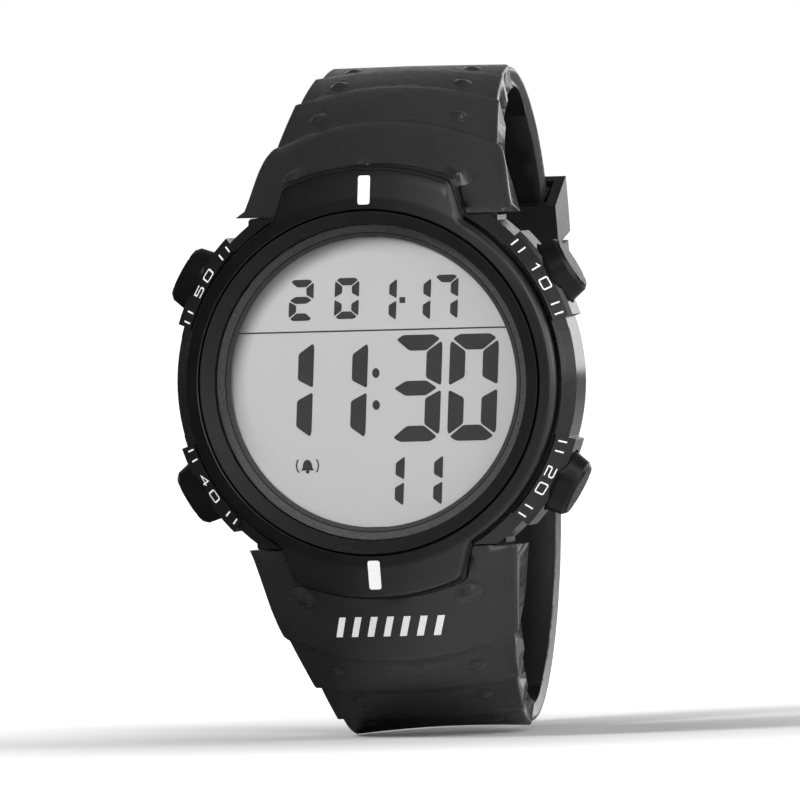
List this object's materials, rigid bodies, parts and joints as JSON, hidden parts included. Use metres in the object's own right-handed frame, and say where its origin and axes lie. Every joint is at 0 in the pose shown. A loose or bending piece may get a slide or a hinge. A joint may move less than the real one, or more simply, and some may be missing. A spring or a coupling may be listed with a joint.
{
  "type": "digital watch",
  "caption": "Round digital sports watch with a winged bezel, side push buttons and a buckled resin strap closed in a loop.",
  "frame": {"origin": "centre of the case back's flat face, where the watch rests on the wrist", "axes": "dial faces -Y, +Z towards twelve o'clock, +X towards three o'clock, which is the viewer's right"},
  "size_m": [0.0518, 0.0771, 0.0832],
  "materials": {
    "case_resin": "satin moulded resin",
    "bezel_coat": "satin dark coating",
    "dark_ring": "satin black coating",
    "crystal": "polished",
    "gasket": "matte",
    "dial_print": "fine textured",
    "display": "matte grey",
    "backlight": "matte",
    "conductive_rubber": "striped",
    "module_plastic": "moulded",
    "board": "green solder mask",
    "chip": "matte",
    "steel": "brushed",
    "buzzer_brass": "bright",
    "marker_white": "white fill",
    "strap_resin": "satin moulded resin",
    "buckle_steel": "brushed",
    "button_resin": "satin black",
    "spring_steel": "bright"
  },
  "bodies": {
    "watch": {"case_body": "case_resin", "bezel": "bezel_coat", "crystal_ring": "dark_ring", "crystal": "crystal", "crystal_gasket": "gasket", "back_gasket": "gasket", "stem_seals": "gasket", "dial_ring": "dial_print", "lcd_panel": "display", "backlight_panel": "backlight", "zebra_strips": "conductive_rubber", "module_frame": "module_plastic", "battery_holder": "module_plastic", "circuit_board": "board", "processor_chip": "chip", "coin_cell": "steel", "battery_contact": "steel", "battery_clip": "steel", "module_screws": "steel", "case_back": "steel", "back_screws": "steel", "spring_bar_upper": "steel", "spring_bar_lower": "steel", "switch_leaves": "steel", "buzzer_disc": "buzzer_brass", "index_markers": "marker_white", "strap_upper": "strap_resin", "strap_lower": "strap_resin", "fixed_keeper": "strap_resin", "buckle_pin": "buckle_steel", "spring_start": "spring_steel", "spring_reset": "spring_steel", "spring_light": "spring_steel", "spring_mode": "spring_steel"},
    "button_start": {"button_start": "button_resin", "clip_start": "spring_steel"},
    "button_reset": {"button_reset": "button_resin", "clip_reset": "spring_steel"},
    "button_light": {"button_light": "button_resin", "clip_light": "spring_steel"},
    "button_mode": {"button_mode": "button_resin", "clip_mode": "spring_steel"},
    "buckle": {"buckle_frame": "buckle_steel"},
    "tongue": {"buckle_tongue": "buckle_steel"},
    "keeper": {"free_keeper": "strap_resin"}
  },
  "joints": [
    {"name": "start_press", "type": "slide", "parent": "watch", "child": "button_start", "axis": [-0.866, 0, -0.5], "range_m": [0, 0.0009], "stiffness_N_per_m": 500, "springref_m": -0.0005, "deforming": ["spring_start"]},
    {"name": "reset_press", "type": "slide", "parent": "watch", "child": "button_reset", "axis": [-0.866, 0, 0.5], "range_m": [0, 0.0009], "stiffness_N_per_m": 500, "springref_m": -0.0005, "deforming": ["spring_reset"]},
    {"name": "light_press", "type": "slide", "parent": "watch", "child": "button_light", "axis": [0.866, 0, -0.5], "range_m": [0, 0.0009], "stiffness_N_per_m": 500, "springref_m": -0.0005, "deforming": ["spring_light"]},
    {"name": "mode_press", "type": "slide", "parent": "watch", "child": "button_mode", "axis": [0.866, 0, 0.5], "range_m": [0, 0.0009], "stiffness_N_per_m": 500, "springref_m": -0.0005, "deforming": ["spring_mode"]},
    {"name": "buckle_swing", "type": "hinge", "parent": "watch", "child": "buckle", "pos_m": [0, 0.05364, 0.00978], "axis": [1, 0, 0], "range_deg": [0, 8]},
    {"name": "tongue_swing", "type": "hinge", "parent": "buckle", "child": "tongue", "pos_m": [0, 0.05364, 0.00978], "axis": [1, 0, 0], "range_deg": [0, 12]},
    {"name": "keeper_slide", "type": "hinge", "parent": "watch", "child": "keeper", "pos_m": [0, 0.029, 0.0115], "axis": [1, 0, 0], "range_deg": [-1.5, 10]}
  ]
}
